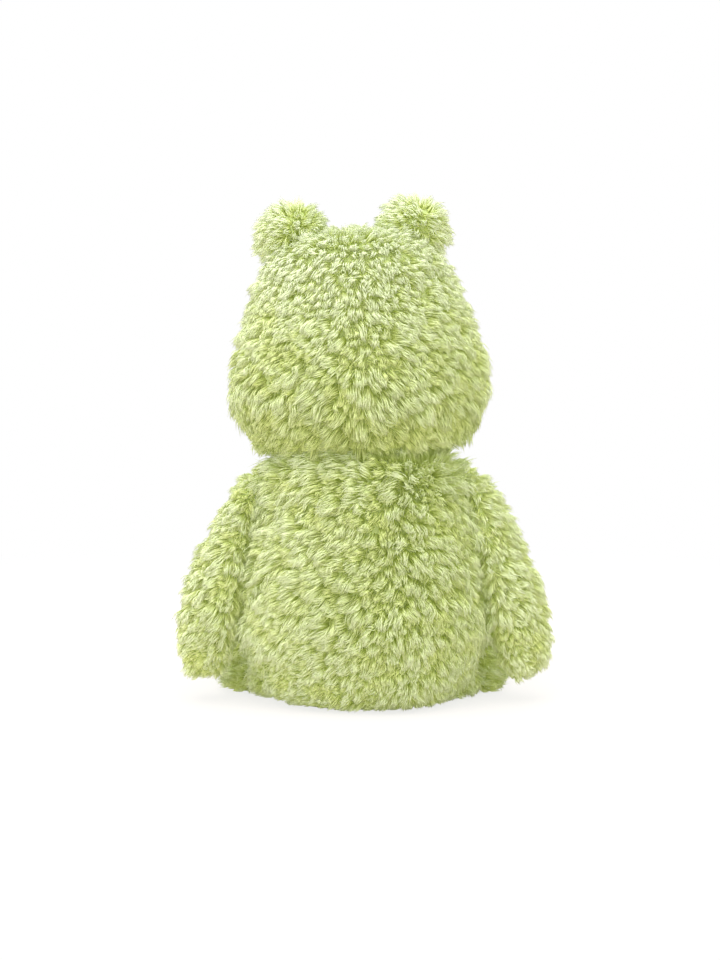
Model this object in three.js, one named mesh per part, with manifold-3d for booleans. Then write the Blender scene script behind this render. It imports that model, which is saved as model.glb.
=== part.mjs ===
// A seated plush frog: a stuffed torso and head joined by a soft neck, two eye bumps with plastic
// eyes, two arms that hang from the shoulders and two legs that lie forward on the ground.
// Millimetres, +Z up, the frog faces -Y, and the origin is where the torso's axis meets the ground.
import * as THREE from 'three';
import { mergeVertices } from 'three/addons/utils/BufferGeometryUtils.js';
import Module from 'manifold-3d';

const wasm = await Module();
wasm.setup();

// Cloth, clearances and cutting tools
const skinThickness = 2;
const seatGap = 0.3;
const cutOverrun = 300;
const wideSegments = 22;
const limbSegments = 14;
const smallSegments = 8;
const profileSteps = 10;
const bagSteps = 5;

// Torso: an egg on a flat seat, from the ground to the neck
const torsoHalfWidth = 66.5;
const torsoDepthShare = 0.86;
const neckHeight = 135;
const neckBallRadius = 26;
const neckCone = THREE.MathUtils.degToRad(4);
const seatRadius = 40;
const torsoProfileShares = [
  [0.66, 0], [0.78, 0.022], [0.89, 0.085], [0.965, 0.2], [1, 0.34], [0.985, 0.47],
  [0.95, 0.6], [0.895, 0.72], [0.82, 0.83], [0.75, 0.915], [0.665, 0.965],
];

// Weighted pellet bag in the seat
const pelletBagRadius = 35;
const pelletBagHeight = 24;
const pelletBagShares = [[0.86, 0], [1, 0.3], [0.9, 0.68], [0.55, 0.93]];

// Head: wide at the cheeks, narrower towards the crown, measured from the neck's centre, and
// leaning a little towards the frog's left
const headHalfWidth = 69.5;
const headHeight = 122;
const headDepthShare = 0.83;
const headLean = THREE.MathUtils.degToRad(2.9);
const headProfileShares = [
  [0.66, 0.03], [0.82, 0.072], [0.935, 0.155], [0.99, 0.245], [1, 0.32], [0.973, 0.425],
  [0.925, 0.515], [0.875, 0.605], [0.825, 0.69], [0.78, 0.776], [0.73, 0.85], [0.64, 0.918],
  [0.48, 0.966], [0.25, 0.992],
];

// Eye bumps on the crown, and the plastic eyes held through them by a stem and a washer
const bumpRadius = 18.7;
const bumpSpread = 32.4;
const bumpHeight = 117.8;
const bumpForward = 8;
const eyeRadius = 8.5;
const eyeDome = 5;
const eyeStemRadius = 2;
const eyeStemLength = 9;
const eyeOutward = THREE.MathUtils.degToRad(14);
const eyeUpward = THREE.MathUtils.degToRad(8);
const washerRadius = 6.5;
const washerThickness = 1.4;

// Stitched mouth and nostrils on the face
const mouthHalfWidth = 27;
const mouthHeight = 44;
const mouthRise = 8;
const mouthThreadRadius = 1.4;
const nostrilSpread = 7;
const nostrilHeight = 66;
const nostrilRadius = 2.2;

// Arms: a flattened inner side that lies along the torso, and a round boss sewn to the shoulder
const armTilt = THREE.MathUtils.degToRad(11.4);
const armSplay = THREE.MathUtils.degToRad(9.1);
const shoulderHeight = 112;
const armAbove = 20;
const armLength = 124;
const armHalfWidth = 22.6;
const armInset = 4;
const shoulderBossRadius = 10;
const shoulderBossLength = 12;
const shoulderBossSink = 4;
const armProfileShares = [
  [0.36, 0.012], [0.58, 0.06], [0.7, 0.13], [0.77, 0.2], [0.84, 0.3], [0.93, 0.41],
  [0.99, 0.53], [1, 0.65], [0.95, 0.76], [0.82, 0.86], [0.57, 0.95], [0.28, 0.99],
];
const armForward = 100;
const armBack = 40;
const armTrimSteps = 7;

// Legs: a round hip in the torso's lower corner, a shin lying forward and an upright foot
const hipSpread = 51;
const hipForward = 48;
const hipRadius = 20;
const legLength = 66;
const legSplay = THREE.MathUtils.degToRad(14);
const shinRadius = 18;
const ankleRadius = 18.5;
const hipOpeningRadius = 12.5;
const footHalfWidth = 21.5;
const footHalfLength = 15;
const footHalfHeight = 26;

// Materials
const pile = { color: 0xbccb87, roughness: 0.95, metalness: 0 };
const fill = { color: 0xf2efe6, roughness: 1, metalness: 0 };
const pellets = { color: 0xe4ddc8, roughness: 0.9, metalness: 0 };
const eyePlastic = { color: 0x0c0b0a, roughness: 0.12, metalness: 0 };
const washerPlastic = { color: 0xe9e9e4, roughness: 0.45, metalness: 0 };
const thread = { color: 0x55682f, roughness: 0.8, metalness: 0 };

// Solids: a closed geometry becomes a manifold for cuts and joins, and comes back
function solid(geometry) {
  const flat = geometry.clone();
  flat.deleteAttribute('normal');
  flat.deleteAttribute('uv');
  const merged = mergeVertices(flat);
  const vertProperties = new Float32Array(merged.attributes.position.array);
  const triVerts = new Uint32Array(merged.index.array);
  return new wasm.Manifold(new wasm.Mesh({ numProp: 3, vertProperties, triVerts }));
}

function geometryOf(body) {
  const { vertProperties, triVerts } = body.getMesh();
  const geometry = new THREE.BufferGeometry();
  geometry.setAttribute('position', new THREE.BufferAttribute(vertProperties, 3));
  geometry.setIndex(new THREE.BufferAttribute(triVerts, 1));
  return geometry;
}

function mirrored(geometry) {
  const copy = geometry.clone().applyMatrix4(new THREE.Matrix4().makeScale(-1, 1, 1));
  const corners = copy.index.array;
  for (let i = 0; i < corners.length; i += 3) {
    [corners[i], corners[i + 1]] = [corners[i + 1], corners[i]];
  }
  return copy;
}

// A profile in shares of a radius and a height becomes a smooth outline of radius and height
function outline(shares, radius, height, steps) {
  const points = shares.map(([across, up]) => new THREE.Vector2(across * radius, up * height));
  return new THREE.SplineCurve(points).getSpacedPoints(steps);
}

// The outline moved inwards by a depth, square to itself, and closed on the axis at both ends
function inset(points, depth, first, last) {
  const closed = [first, ...points, last];
  const moved = points.map((point, index) => {
    const along = new THREE.Vector2().subVectors(closed[index + 2], closed[index]).normalize();
    return new THREE.Vector2(point.x - along.y * depth, point.y + along.x * depth);
  });
  const rises = Math.sign(last.y - first.y);
  const low = new THREE.Vector2(0, first.y + rises * depth);
  const high = new THREE.Vector2(0, last.y - rises * depth);
  return [low, ...moved, high];
}

// A turned body about Z, flattened front to back by its depth share
function turned(points, segments, depthShare) {
  const geometry = new THREE.LatheGeometry(points, segments);
  geometry.rotateX(Math.PI / 2);
  geometry.scale(1, depthShare, 1);
  return geometry;
}

function ball(radius, segments, x, y, z) {
  const geometry = new THREE.SphereGeometry(radius, segments, segments / 2);
  return solid(geometry.rotateX(Math.PI / 2).translate(x, y, z));
}

// A hollow for a ball: its flat facets, not its corners, clear the ball by the gap
function ballRoom(radius, segments, x, y, z) {
  const flat = Math.cos(Math.PI / segments);
  return ball((radius + seatGap) / (flat * flat), segments, x, y, z);
}

function rod(radius, length, segments) {
  return new THREE.CylinderGeometry(radius, radius, length, segments).rotateX(Math.PI / 2);
}

function mesh(name, geometry, finish) {
  const piece = new THREE.Mesh(geometry, new THREE.MeshStandardMaterial(finish));
  piece.name = name;
  return piece;
}

// Torso outline, from the edge of the flat seat up to the shallow cone under the head
const torsoOutline = outline(torsoProfileShares, torsoHalfWidth, neckHeight, profileSteps);
const torsoRim = torsoOutline[torsoOutline.length - 1];
torsoRim.y = neckHeight - torsoRim.x * Math.tan(neckCone);

function torsoBody(depth) {
  const ground = new THREE.Vector2(0, 0);
  const neck = new THREE.Vector2(0, neckHeight);
  return solid(turned(inset(torsoOutline, depth, ground, neck), wideSegments, torsoDepthShare));
}

// Head outline, from the shallow cone over the torso up to the crown
const headOutline = outline(headProfileShares, headHalfWidth, headHeight, profileSteps);
const headRim = headOutline[0];
headRim.y = headRim.x * Math.tan(neckCone);

function headBody(depth) {
  const neck = new THREE.Vector2(0, 0);
  const crown = new THREE.Vector2(0, headHeight);
  return solid(turned(inset(headOutline, depth, neck, crown), wideSegments, headDepthShare));
}

// How far the head's front lies forward at a height and a distance to the side
function faceForward(side, height) {
  const next = headOutline.findIndex((point) => point.y > height);
  const [below, above] = [headOutline[next - 1], headOutline[next]];
  const share = (height - below.y) / (above.y - below.y);
  const radius = THREE.MathUtils.lerp(below.x, above.x, share);
  return headDepthShare * Math.sqrt(radius * radius - side * side);
}

// Where the legs' round hips go into the torso, on both sides
function hipPockets() {
  const left = ballRoom(hipRadius, limbSegments, hipSpread, -hipForward, hipRadius);
  return left.add(ballRoom(hipRadius, limbSegments, -hipSpread, -hipForward, hipRadius));
}

function buildTorso() {
  const group = new THREE.Group();
  const neckSocket = ballRoom(neckBallRadius, wideSegments, 0, 0, neckHeight);
  const pockets = hipPockets();
  const panelTop = skinThickness;
  const panel = rod(seatRadius, skinThickness, wideSegments);
  panel.scale(1, torsoDepthShare, 1).translate(0, 0, skinThickness / 2);
  const seatHole = rod(seatRadius + seatGap, 2 * (skinThickness + seatGap), wideSegments);
  seatHole.scale(1, torsoDepthShare, 1);
  const skin = torsoBody(0).subtract(torsoBody(skinThickness)).subtract(solid(seatHole))
    .subtract(neckSocket).subtract(pockets);
  const bagOutline = outline(pelletBagShares, pelletBagRadius, pelletBagHeight, bagSteps);
  const bag = (depth) => {
    const low = new THREE.Vector2(0, 0);
    const high = new THREE.Vector2(0, pelletBagHeight);
    return turned(inset(bagOutline, depth, low, high), wideSegments, torsoDepthShare)
      .translate(0, 0, panelTop + seatGap);
  };
  const stuffing = torsoBody(skinThickness + seatGap).subtract(solid(bag(-seatGap)))
    .subtract(neckSocket).subtract(pockets);
  group.add(mesh('torso_skin', geometryOf(skin), pile));
  group.add(mesh('seat_panel', panel, pile));
  group.add(mesh('torso_stuffing', geometryOf(stuffing), fill));
  group.add(mesh('pellet_bag', bag(0), pellets));
  return group;
}

function buildNeck() {
  const group = new THREE.Group();
  group.position.z = neckHeight;
  const plug = new THREE.SphereGeometry(neckBallRadius, wideSegments, wideSegments / 2);
  group.add(mesh('neck_stuffing', plug.rotateX(Math.PI / 2), fill));
  return group;
}

// One eye bump, in a frame at its centre: the head's body cuts its open lower side
function buildBump(side) {
  const name = side > 0 ? 'left' : 'right';
  const group = new THREE.Group();
  group.position.set(side * bumpSpread, -bumpForward, bumpHeight);
  const looks = new THREE.Euler(Math.PI / 2 - eyeUpward, 0, side * eyeOutward, 'ZYX');
  const turn = new THREE.Matrix4().makeRotationFromEuler(looks);
  const seat = Math.sqrt(bumpRadius * bumpRadius - eyeRadius * eyeRadius);
  const sphere = (depth) => ball(bumpRadius - depth, limbSegments, 0, 0, 0);
  const ahead = (geometry, start, length) => {
    const placed = geometry.clone().translate(0, 0, start + length / 2);
    return solid(placed.applyMatrix4(turn));
  };
  const flat = (depth) => {
    const block = new THREE.BoxGeometry(cutOverrun, cutOverrun, bumpRadius);
    return ahead(block, seat - depth, bumpRadius);
  };
  const head = (depth) => headBody(depth).translate(-side * bumpSpread, bumpForward, -bumpHeight);
  const stem = ahead(rod(eyeStemRadius + seatGap, 2 * bumpRadius, smallSegments), 0, 2 * bumpRadius);
  const washerDepth = skinThickness + seatGap + washerThickness;
  const washerRoom = ahead(
    rod(washerRadius + seatGap, bumpRadius, limbSegments),
    seat - washerDepth - seatGap,
    bumpRadius,
  );
  const stemRoom = ahead(
    rod(eyeStemRadius + seatGap, bumpRadius, smallSegments),
    seat - eyeStemLength - seatGap,
    bumpRadius,
  );
  const skin = sphere(0).subtract(flat(0)).subtract(sphere(skinThickness).subtract(flat(skinThickness)))
    .subtract(head(-seatGap)).subtract(stem);
  const inner = skinThickness + seatGap;
  const stuffing = sphere(inner).subtract(flat(inner)).subtract(head(-seatGap))
    .subtract(washerRoom).subtract(stemRoom);
  group.add(mesh(`eye_bump_skin_${name}`, geometryOf(skin), pile));
  group.add(mesh(`eye_bump_stuffing_${name}`, geometryOf(stuffing), fill));
  const eyeGroup = new THREE.Group();
  eyeGroup.rotation.copy(looks);
  eyeGroup.add(buildEye(name, seat + seatGap));
  eyeGroup.add(buildWasher(name, seat - skinThickness - seatGap - washerThickness / 2));
  group.add(eyeGroup);
  return group;
}

// A plastic eye: a dome on a flat back, with a stem that goes in through the cloth
function buildEye(name, seat) {
  const dome = new THREE.EllipseCurve(0, 0, eyeRadius, eyeDome, 0, Math.PI / 2);
  const points = [
    new THREE.Vector2(0, -eyeStemLength),
    new THREE.Vector2(eyeStemRadius, -eyeStemLength),
    new THREE.Vector2(eyeStemRadius, 0),
    ...dome.getPoints(smallSegments / 2),
  ];
  points[points.length - 1].x = 0;
  const eye = mesh(`eye_${name}`, turned(points, limbSegments, 1), eyePlastic);
  eye.position.z = seat;
  return eye;
}

function buildWasher(name, place) {
  const disc = solid(rod(washerRadius, washerThickness, limbSegments));
  const hole = solid(rod(eyeStemRadius + seatGap, 2 * washerThickness, smallSegments));
  const washer = mesh(`eye_washer_${name}`, geometryOf(disc.subtract(hole)), washerPlastic);
  washer.position.z = place;
  return washer;
}

// The stitched mouth follows the face from cheek to cheek, and its ends turn up
function buildMouth() {
  const stand = mouthThreadRadius + seatGap;
  const points = [];
  for (let i = 0; i <= limbSegments; i += 1) {
    const share = (2 * i) / limbSegments - 1;
    const side = share * mouthHalfWidth;
    const height = mouthHeight + mouthRise * share * share;
    points.push(new THREE.Vector3(side, -faceForward(side, height) - stand, height));
  }
  const section = new THREE.Shape().absarc(0, 0, mouthThreadRadius, 0, 2 * Math.PI);
  const geometry = new THREE.ExtrudeGeometry(section, {
    steps: limbSegments,
    curveSegments: smallSegments / 2,
    extrudePath: new THREE.CatmullRomCurve3(points),
  });
  return mesh('mouth_stitch', geometry, thread);
}

function buildNostril(side) {
  const name = side > 0 ? 'left' : 'right';
  const geometry = new THREE.SphereGeometry(nostrilRadius, smallSegments, smallSegments / 2);
  const nostril = mesh(`nostril_${name}`, geometry, thread);
  const forward = faceForward(nostrilSpread, nostrilHeight) + nostrilRadius + seatGap;
  nostril.position.set(side * nostrilSpread, -forward, nostrilHeight);
  return nostril;
}

function buildHead() {
  const group = new THREE.Group();
  group.position.z = neckHeight;
  group.rotation.y = headLean;
  const socket = ballRoom(neckBallRadius, wideSegments, 0, 0, 0);
  const skin = headBody(0).subtract(headBody(skinThickness)).subtract(socket);
  const stuffing = headBody(skinThickness + seatGap).subtract(socket);
  group.add(mesh('head_skin', geometryOf(skin), pile));
  group.add(mesh('head_stuffing', geometryOf(stuffing), fill));
  for (const side of [1, -1]) {
    group.add(buildBump(side));
    group.add(buildNostril(side));
  }
  group.add(buildMouth());
  return group;
}

// The plane that the arms turn in rests against the torso's side, and the shoulder lies in it
const armReach = Math.max(
  ...torsoOutline.map((point) => point.x * Math.cos(armTilt) + point.y * Math.sin(armTilt)),
);
const shoulderSide = (armReach - shoulderHeight * Math.sin(armTilt)) / Math.cos(armTilt);

// The left arm, in a frame at the shoulder: +X points out from the torso and -Z down the arm
function armBodies() {
  const armOutline = outline(armProfileShares, armHalfWidth, armLength, profileSteps);
  const place = new THREE.Matrix4().makeRotationY(-armSplay);
  const start = new THREE.Matrix4().makeTranslation(-armInset, 0, armAbove);
  const limb = (depth) => {
    const top = new THREE.Vector2(0, 0);
    const hand = new THREE.Vector2(0, armLength);
    const body = turned(inset(armOutline, depth, top, hand), limbSegments, 1);
    return solid(body.rotateX(Math.PI).applyMatrix4(start).applyMatrix4(place));
  };
  const inside = (depth) => {
    const block = new THREE.BoxGeometry(cutOverrun, cutOverrun, cutOverrun);
    return solid(block.translate(depth - cutOverrun / 2, 0, 0));
  };
  const boss = (depth) => {
    const body = rod(shoulderBossRadius - depth, shoulderBossLength, limbSegments);
    const inwards = shoulderBossSink - shoulderBossLength / 2;
    return solid(body.rotateY(Math.PI / 2).translate(inwards, 0, 0));
  };
  const toShoulder = new THREE.Matrix4().makeRotationY(armTilt)
    .multiply(new THREE.Matrix4().makeTranslation(-shoulderSide, 0, -shoulderHeight));
  const profile = inset(
    torsoOutline,
    -seatGap,
    new THREE.Vector2(0, 0),
    new THREE.Vector2(0, neckHeight),
  );
  const torso = turned(profile, wideSegments, torsoDepthShare).applyMatrix4(toShoulder);
  const swept = [];
  for (let i = 0; i <= armTrimSteps; i += 1) {
    const angle = THREE.MathUtils.degToRad(THREE.MathUtils.lerp(-armBack, armForward, i / armTrimSteps));
    swept.push(solid(torso.clone().rotateX(angle)));
  }
  const shaped = (depth) => limb(depth).subtract(inside(seatGap + depth)).add(boss(depth));
  const trimmed = (body) => swept.reduce((left, cutter) => left.subtract(cutter), body);
  const skin = trimmed(shaped(0).subtract(shaped(skinThickness)));
  const stuffing = trimmed(shaped(skinThickness + seatGap));
  return { skin: geometryOf(skin), stuffing: geometryOf(stuffing) };
}

// The left leg, in a frame at the hip's centre, with the foot towards -Y
function legBodies() {
  const rise = footHalfHeight - hipRadius;
  const climb = Math.asin(rise / legLength);
  const limb = (depth) => {
    const radii = [hipRadius, (hipRadius + shinRadius) / 2, shinRadius, ankleRadius, ankleRadius];
    const shin = radii.map((radius, index) => {
      const along = (index / (radii.length - 1)) * (legLength - footHalfLength / 2);
      return new THREE.Vector2(radius - depth, along);
    });
    const hip = new THREE.EllipseCurve(0, 0, hipRadius - depth, hipRadius - depth, -Math.PI / 2, 0);
    const round = hip.getPoints(smallSegments / 2).slice(0, -1);
    round[0].x = 0;
    const end = new THREE.Vector2(0, legLength);
    const body = turned([...round, ...shin, end], limbSegments, 1);
    body.rotateX(Math.PI / 2 - climb);
    return solid(body.rotateZ(legSplay));
  };
  const foot = (depth) => {
    const body = new THREE.SphereGeometry(footHalfWidth - depth, limbSegments, limbSegments / 2);
    body.rotateX(Math.PI / 2);
    const long = (footHalfLength - depth) / (footHalfWidth - depth);
    const tall = (footHalfHeight - depth) / (footHalfWidth - depth);
    body.scale(1, long, tall).translate(0, -legLength * Math.cos(climb), rise);
    return solid(body.rotateZ(legSplay));
  };
  const plug = (depth) => {
    const body = rod(hipOpeningRadius - depth, hipRadius, limbSegments);
    body.translate(0, 0, hipRadius / 2).rotateX(-Math.PI / 2);
    return solid(body.rotateZ(legSplay));
  };
  const root = (depth) => ball(hipRadius - depth, limbSegments, 0, 0, 0);
  const shaped = (depth) => limb(depth).add(foot(depth));
  const skin = shaped(0).subtract(shaped(skinThickness)).subtract(plug(0));
  const stuffing = shaped(skinThickness + seatGap).add(plug(seatGap).intersect(root(seatGap)));
  return { skin: geometryOf(skin), stuffing: geometryOf(stuffing) };
}

// Two like limbs: the right one is the left one mirrored
function addLimbs(parent, name, bodies, place) {
  for (const side of [1, -1]) {
    const word = side > 0 ? 'left' : 'right';
    const group = new THREE.Group();
    place(group, side);
    const skin = side > 0 ? bodies.skin : mirrored(bodies.skin);
    const stuffing = side > 0 ? bodies.stuffing : mirrored(bodies.stuffing);
    group.add(mesh(`${name}_skin_${word}`, skin, pile));
    group.add(mesh(`${name}_stuffing_${word}`, stuffing, fill));
    parent.add(group);
  }
}

const frog = new THREE.Group();
frog.add(buildTorso());
frog.add(buildNeck());
frog.add(buildHead());
addLimbs(frog, 'arm', armBodies(), (group, side) => {
  group.position.set(side * shoulderSide, 0, shoulderHeight);
  group.rotation.y = -side * armTilt;
});
addLimbs(frog, 'leg', legBodies(), (group, side) => {
  group.position.set(side * hipSpread, -hipForward, hipRadius);
});

export default frog;
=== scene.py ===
import math
import bpy
import numpy as np
from mathutils import Matrix, Vector, kdtree, noise
from mathutils.bvhtree import BVHTree


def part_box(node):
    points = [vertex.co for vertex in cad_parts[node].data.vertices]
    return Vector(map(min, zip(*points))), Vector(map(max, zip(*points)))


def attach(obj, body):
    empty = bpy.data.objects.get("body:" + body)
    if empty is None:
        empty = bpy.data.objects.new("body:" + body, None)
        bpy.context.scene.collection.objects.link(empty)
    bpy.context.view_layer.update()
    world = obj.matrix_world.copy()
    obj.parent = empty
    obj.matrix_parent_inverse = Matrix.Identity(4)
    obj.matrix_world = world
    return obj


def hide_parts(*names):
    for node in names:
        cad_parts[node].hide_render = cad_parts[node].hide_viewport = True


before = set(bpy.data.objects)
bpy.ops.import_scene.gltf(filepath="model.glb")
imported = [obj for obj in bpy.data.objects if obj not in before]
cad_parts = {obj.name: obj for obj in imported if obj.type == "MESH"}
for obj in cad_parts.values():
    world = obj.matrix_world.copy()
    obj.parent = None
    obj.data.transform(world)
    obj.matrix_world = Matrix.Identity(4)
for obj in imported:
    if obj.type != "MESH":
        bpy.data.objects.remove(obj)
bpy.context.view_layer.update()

mm = 0.001
mergeGap = 0.01 * mm
print("frame loaded:", len(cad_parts), "nodes")


# Shader maths
class Wire:  # a socket that adds its own maths nodes
    def __init__(self, sheet, socket):
        self.sheet = sheet
        self.socket = socket

    def maths(self, operation, *values):
        return self.sheet.node("ShaderNodeMath", {"operation": operation}, list(values))

    def __add__(self, other):
        return self.maths("ADD", self, other)

    def __radd__(self, other):
        return self.maths("ADD", other, self)

    def __sub__(self, other):
        return self.maths("SUBTRACT", self, other)

    def __rsub__(self, other):
        return self.maths("SUBTRACT", other, self)

    def __mul__(self, other):
        return self.maths("MULTIPLY", self, other)

    def __rmul__(self, other):
        return self.maths("MULTIPLY", other, self)


class Finish:  # the nodes of a material or the world, and the shader that they feed
    def __init__(self, owner, shaderName="Principled BSDF"):
        self.owner = owner
        self.owner.use_nodes = True
        self.tree = self.owner.node_tree
        self.shader = self.tree.nodes[shaderName]

    def node(self, kind, settings=None, sockets=None, out=0):
        made = self.tree.nodes.new(kind)
        for key, value in (settings or {}).items():
            if key == "stops":
                ramp = made.color_ramp
                while len(ramp.elements) < len(value):
                    ramp.elements.new(0.5)
                for element, (place, colour) in zip(ramp.elements, value):
                    element.position = place
                    element.color = (*colour, 1)
            else:
                setattr(made, key, value)
        pairs = sockets.items() if isinstance(sockets, dict) else enumerate(sockets or [])
        for key, value in pairs:
            if isinstance(value, Wire):
                self.tree.links.new(value.socket, made.inputs[key])
            else:
                made.inputs[key].default_value = value
        return Wire(self, made.outputs[out])

    def set(self, values):
        for key, value in values.items():
            if isinstance(value, Wire):
                self.tree.links.new(value.socket, self.shader.inputs[key])
            else:
                self.shader.inputs[key].default_value = value

    def mixIn(self, other, share):  # another shader takes the place of a share of this one
        mixed = self.node("ShaderNodeMixShader", None, [share])
        self.tree.links.new(self.shader.outputs[0], mixed.socket.node.inputs[1])
        self.tree.links.new(other.socket, mixed.socket.node.inputs[2])
        self.tree.links.new(mixed.socket, self.tree.nodes["Material Output"].inputs["Surface"])

    def letThrough(self, colour, share):  # fibres pass on some of the light that meets them
        self.mixIn(self.node("ShaderNodeBsdfTranslucent", None, {"Color": colour}), share)


def screenColour(red, green, blue):  # 0 to 255 as seen, to Blender's linear light
    def linear(share):
        return share / 12.92 if share <= 0.04045 else ((share + 0.055) / 1.055) ** 2.4
    return tuple(linear(value / 255) for value in (red, green, blue))


# Camera, lamps and floor
cameraSetup = {
    "photoHeight": 960,
    "pixelsPerMm": 1.84,
    "distance": 1.6,
    "elevation": 5.5,
    "target": (1.9 * mm, 0, 121 * mm),
    "sensor": 36,
}


def placeCamera():
    setup = cameraSetup
    data = bpy.data.cameras.new("photoCamera")
    camera = bpy.data.objects.new("photoCamera", data)
    bpy.context.scene.collection.objects.link(camera)
    tilt = math.radians(setup["elevation"])
    back = Vector((0, math.cos(tilt), math.sin(tilt)))
    camera.location = Vector(setup["target"]) + back * setup["distance"]
    camera.rotation_euler = back.to_track_quat("Z", "Y").to_euler()
    seen = setup["photoHeight"] / setup["pixelsPerMm"] * mm
    data.sensor_width = setup["sensor"]
    data.lens = setup["sensor"] * setup["distance"] / seen
    bpy.context.scene.camera = camera


lampSetup = {
    "overheadSoftbox": {"place": (0.12, 0.4, 1.4), "size": 1.9, "power": 19.5, "colour": (1, 0.985, 0.96)},
    "leftSoftbox": {"place": (1.25, 1.15, 0.65), "size": 1.0, "power": 4, "colour": (1, 1, 1)},
    "rightFill": {"place": (-1.4, 1.0, 0.5), "size": 1.2, "power": 2.5, "colour": (0.98, 0.99, 1)},
    "faceFill": {"place": (0.2, -1.6, 0.9), "size": 1.4, "power": 5, "colour": (1, 1, 1)},
}
lampAim = (0, 0, 0.12)


def placeLamps():
    for name, setup in lampSetup.items():
        data = bpy.data.lights.new(name, "AREA")
        data.shape = "DISK"
        data.size = setup["size"]
        data.energy = setup["power"]
        data.color = setup["colour"]
        lamp = bpy.data.objects.new(name, data)
        lamp.location = setup["place"]
        aim = Vector(setup["place"]) - Vector(lampAim)
        lamp.rotation_euler = aim.to_track_quat("Z", "Y").to_euler()
        bpy.context.scene.collection.objects.link(lamp)


studio = {"floorSize": 12, "ambient": 1.29, "floorColour": (0.82, 0.75, 0.69),
          "nearWhite": 0.77, "fadeFrom": 0.25, "fadeTo": 0.7}


def seenWhite(finish):  # 1 where a camera, mirror or glass ray looks straight at the white
    path = finish.node("ShaderNodeLightPath")
    rays = [Wire(finish, path.socket.node.outputs[name])
            for name in ("Is Camera Ray", "Is Glossy Ray", "Is Transmission Ray")]
    return rays[0].maths("MAXIMUM", rays[0].maths("MAXIMUM", rays[0], rays[1]), rays[2])


def buildStudio():
    world = bpy.data.worlds.new("studio")
    bpy.context.scene.world = world
    room = Finish(world, "Background")
    seen = seenWhite(room)
    room.set({"Strength": seen + (1 - seen) * studio["ambient"], "Color": (1, 1, 1, 1)})

    bpy.ops.mesh.primitive_plane_add(size=studio["floorSize"])
    floor = bpy.context.object
    floor.name = "floor"
    finish = Finish(bpy.data.materials.new("studioFloor"))
    finish.set({"Base Color": (*studio["floorColour"], 1), "Roughness": 0.9, "Specular IOR Level": 0.1})
    white = finish.node("ShaderNodeEmission", None, {"Color": (1, 1, 1, 1), "Strength": 1.0})
    place = finish.node("ShaderNodeTexCoord", out=3)
    reach = finish.node("ShaderNodeVectorMath", {"operation": "LENGTH"}, [place], out=1)
    fade = finish.node("ShaderNodeMapRange", {"interpolation_type": "SMOOTHSTEP"},
                       [reach, studio["fadeFrom"], studio["fadeTo"], studio["nearWhite"], 1.0])
    finish.mixIn(white, seenWhite(finish) * fade)
    floor.data.materials.append(finish.owner)


placeCamera()
placeLamps()
buildStudio()
view = bpy.context.scene.view_settings
view.view_transform = "Standard"
print("studio set")


# Finishes
def pileFinish():  # u runs from root to tip of a lock, v is the lock's own tint
    finish = Finish(bpy.data.materials.new("pileLocks"))
    uv = finish.node("ShaderNodeUVMap", {"uv_map": "OFBake"})
    parts = finish.node("ShaderNodeSeparateXYZ", None, [uv])
    along, tint = parts, Wire(finish, parts.socket.node.outputs[1])
    # Greener roots and paler tips along each lock: painted shade deep in the pile and painted light on the
    # tips.
    rootShadeTipLight = finish.node("ShaderNodeValToRGB", {"stops": [
        (0.0, screenColour(231, 240, 156)),
        (0.4, screenColour(235, 243, 178)),
        (0.75, screenColour(236, 244, 202)),
        (1.0, screenColour(237, 244, 216)),
    ]}, [along])
    # v's tint is a random tone per lock, raised or lowered by the light tables, which paint light and shade.
    pale = finish.node("ShaderNodeValToRGB", {"stops": [
        (0.0, screenColour(230, 233, 214)),
        (0.5, screenColour(250, 251, 247)),
        (1.0, screenColour(255, 255, 255)),
    ]}, [tint])
    mixed = finish.node("ShaderNodeMix", {"data_type": "RGBA", "blend_type": "MULTIPLY"},
                        {0: 1.0, 6: rootShadeTipLight, 7: pale}, out=2)
    # The pile's faint green emission is painted light: a glow standing in for light scattered between the
    # fibres, lifting the shade between locks.
    finish.set({"Base Color": mixed, "Roughness": 0.85, "Specular IOR Level": 0.25,
                "Emission Color": (*screenColour(202, 216, 112), 1), "Emission Strength": 0.12})
    finish.letThrough(mixed, 0.25)
    return finish.owner


def backingFinish():  # the knitted cloth that the pile grows from
    finish = Finish(bpy.data.materials.new("backingCloth"))
    place = finish.node("ShaderNodeTexCoord", out=3)
    knit = finish.node("ShaderNodeTexVoronoi", None, {"Vector": place, "Scale": 700.0})
    patch = finish.node("ShaderNodeTexNoise", None, {"Vector": place, "Scale": 60.0, "Detail": 3.0})
    shade = knit * 0.6 + patch * 0.4
    # The backing's greens are darker than the pile's: painted shade for the gaps between locks, with the
    # knit and patch noise on top.
    colour = finish.node("ShaderNodeValToRGB", {"stops": [
        (0.2, screenColour(160, 174, 112)),
        (0.7, screenColour(178, 192, 128)),
    ]}, [shade])
    bump = finish.node("ShaderNodeBump", None, {"Strength": 0.4, "Distance": 0.4 * mm, "Height": knit})
    # Its faint green emission is painted light that lifts the shade in the gaps.
    finish.set({"Base Color": colour, "Roughness": 0.95, "Normal": bump, "Specular IOR Level": 0.2,
                "Emission Color": (*screenColour(202, 216, 112), 1), "Emission Strength": 0.06})
    return finish.owner


def eyeFinish():
    finish = Finish(bpy.data.materials.new("eyeGloss"))
    place = finish.node("ShaderNodeTexCoord", out=3)
    smear = finish.node("ShaderNodeTexNoise", None, {"Vector": place, "Scale": 90.0, "Detail": 2.0})
    finish.set({"Base Color": (*screenColour(16, 14, 13), 1), "Roughness": smear * 0.08 + 0.05,
                "Coat Weight": 0.6, "Coat Roughness": 0.04})
    return finish.owner


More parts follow.
